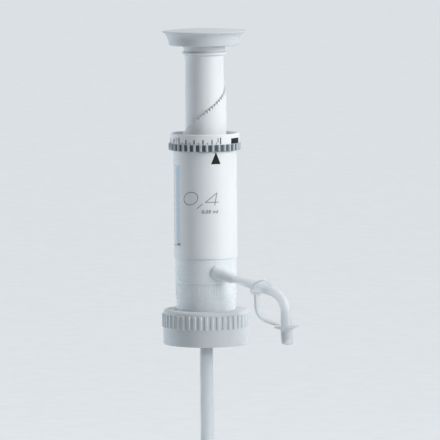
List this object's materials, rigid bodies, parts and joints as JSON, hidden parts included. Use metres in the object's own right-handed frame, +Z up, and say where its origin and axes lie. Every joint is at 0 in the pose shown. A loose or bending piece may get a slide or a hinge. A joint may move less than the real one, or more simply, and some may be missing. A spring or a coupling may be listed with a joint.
{
  "type": "bottle-top dispenser",
  "caption": "Bottle-top dispenser with a push plunger, stepped volume ring, windowed housing, valve block, capped side nozzle, screw collar and suction tube.",
  "frame": {"origin": "centre of the gasket face that rests on the bottle's mouth", "axes": "+Z up along the plunger, -Y towards the side with the pointer and the print, +X to the right of it"},
  "size_m": [0.0842, 0.0755, 0.4162],
  "materials": {
    "white_plastic": "white polypropylene, fine satin moulding",
    "grey_plastic": "pale grey polypropylene, satin moulding",
    "natural_plastic": "natural fluoropolymer and polypropylene, translucent, smooth",
    "clear_pane": "clear polycarbonate, polished",
    "borosilicate": "borosilicate glass, polished",
    "white_ptfe": "white PTFE, turned",
    "seal_rubber": "fluororubber, moulded",
    "stainless": "stainless steel, drawn and turned"
  },
  "bodies": {
    "dispenser_body": {"bottle_gasket": "seal_rubber", "collar_clip": "white_plastic", "valve_block": "natural_plastic", "vent_plug": "natural_plastic", "filling_valve": "natural_plastic", "ball_cage": "natural_plastic", "suction_tube": "natural_plastic", "glass_cylinder": "borosilicate", "cylinder_seal": "white_ptfe", "cylinder_nut": "white_plastic", "housing": "white_plastic", "window_pane": "clear_pane", "guide_bush": "white_plastic", "discharge_seat": "natural_plastic", "discharge_spring": "stainless", "nozzle": "natural_plastic", "strap_ring": "natural_plastic", "cap_strap": "natural_plastic"},
    "plunger": {"plunger_tube": "white_plastic", "knob_collar": "white_plastic", "plunger_knob": "grey_plastic", "knob_cap": "grey_plastic", "piston_rod": "white_plastic", "rod_screw": "stainless", "piston": "white_ptfe", "piston_seal": "seal_rubber"},
    "volume_ring": {"scale_ring": "white_plastic", "grip_ring": "grey_plastic", "stop_lug": "grey_plastic"},
    "screw_collar": {"screw_collar": "grey_plastic"},
    "nozzle_cap": {"nozzle_cap": "natural_plastic"},
    "suction_ball": {"suction_ball": "borosilicate"},
    "discharge_ball": {"discharge_ball": "borosilicate"}
  },
  "joints": [
    {"name": "plunger_slide", "type": "slide", "parent": "dispenser_body", "child": "plunger", "axis": [0, 0, -1], "range_m": [-0.0013, 0.0507]},
    {"name": "ring_turn", "type": "hinge", "parent": "dispenser_body", "child": "volume_ring", "pos_m": [0, 0, 0.108], "axis": [0, 0, 1], "range_deg": [-7.5, 232.5]},
    {"name": "collar_turn", "type": "hinge", "parent": "dispenser_body", "child": "screw_collar", "pos_m": [0, 0, 0], "axis": [0, 0, 1], "continuous": true},
    {"name": "cap_pull", "type": "slide", "parent": "dispenser_body", "child": "nozzle_cap", "axis": [0.0453, -0.0262, -0.9986], "range_m": [0, 0.014], "deforming": ["cap_strap"]},
    {"name": "suction_ball_lift", "type": "slide", "parent": "dispenser_body", "child": "suction_ball", "axis": [0, 0, 1], "range_m": [0, 0.0008]},
    {"name": "discharge_ball_lift", "type": "slide", "parent": "dispenser_body", "child": "discharge_ball", "axis": [0.8396, -0.4847, -0.2453], "range_m": [0, 0.0008], "stiffness_N_per_m": 40, "springref_m": -0.002, "deforming": ["discharge_spring"]}
  ]
}
